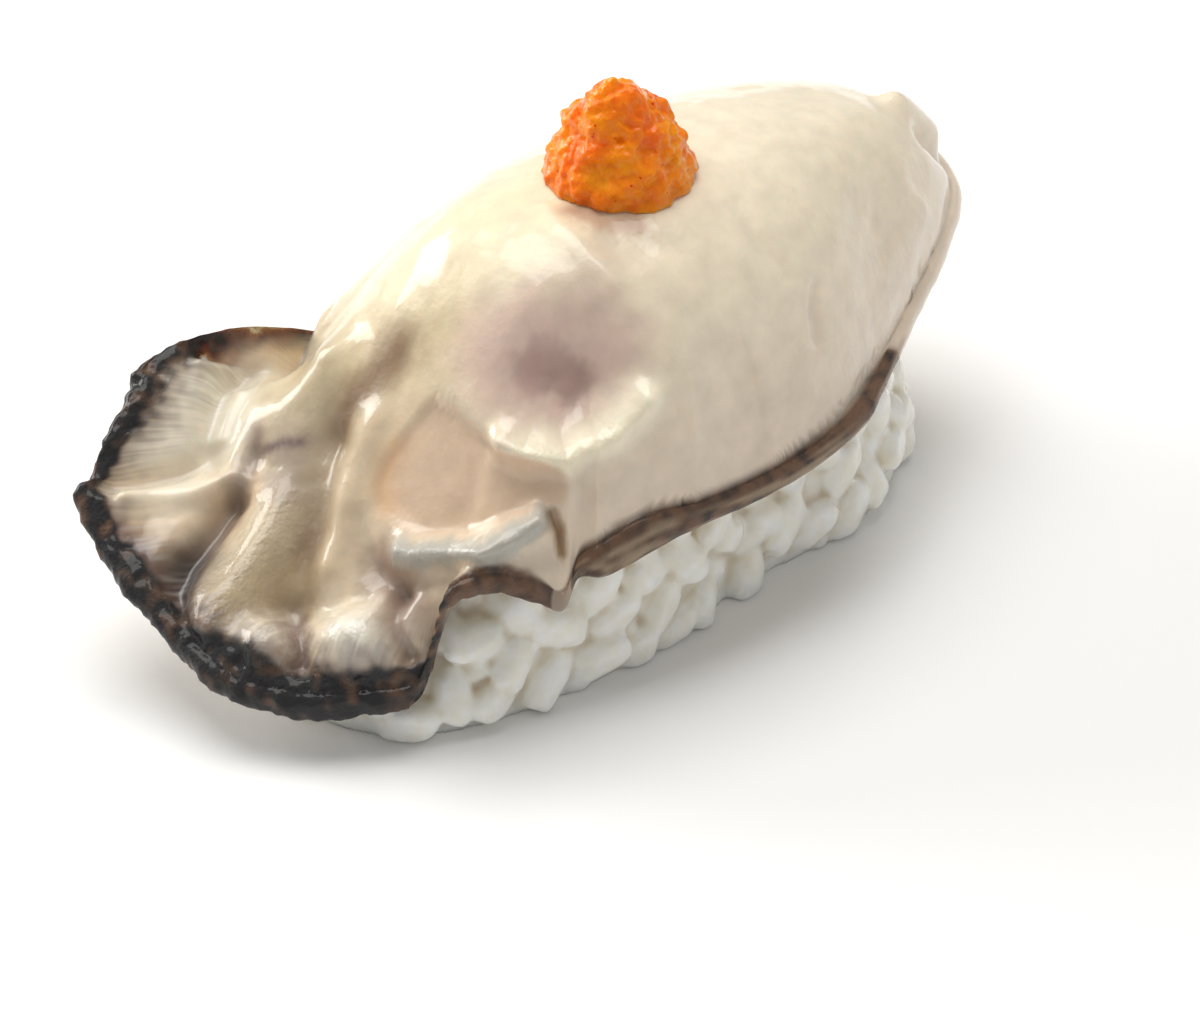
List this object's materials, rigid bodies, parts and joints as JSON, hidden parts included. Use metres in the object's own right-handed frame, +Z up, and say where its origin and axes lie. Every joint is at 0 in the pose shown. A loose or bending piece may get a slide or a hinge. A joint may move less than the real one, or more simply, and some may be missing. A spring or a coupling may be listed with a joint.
{
  "type": "oyster nigiri",
  "caption": "Raw oyster draped over a pressed mound of vinegared rice and topped with a dab of grated chilli radish; it stands on its flat rice base as prepared food.",
  "frame": {"origin": "centre of the rice's flat base, on the surface that the piece stands on", "axes": "+X along the rice towards the oyster's plump belly end, +Z up, -Y towards the side that shows the mantle strip and the muscle"},
  "size_m": [0.0826, 0.0423, 0.0455],
  "materials": {
    "rice": "moist, slightly translucent cooked rice",
    "oyster_flesh": "wet raw oyster flesh, cream to grey-beige, with a near-black frilled edge",
    "chilli_radish": "wet orange grated radish with chilli"
  },
  "bodies": {
    "root": {"rice": "rice", "oyster": "oyster_flesh", "chilli_radish": "chilli_radish"}
  },
  "joints": []
}
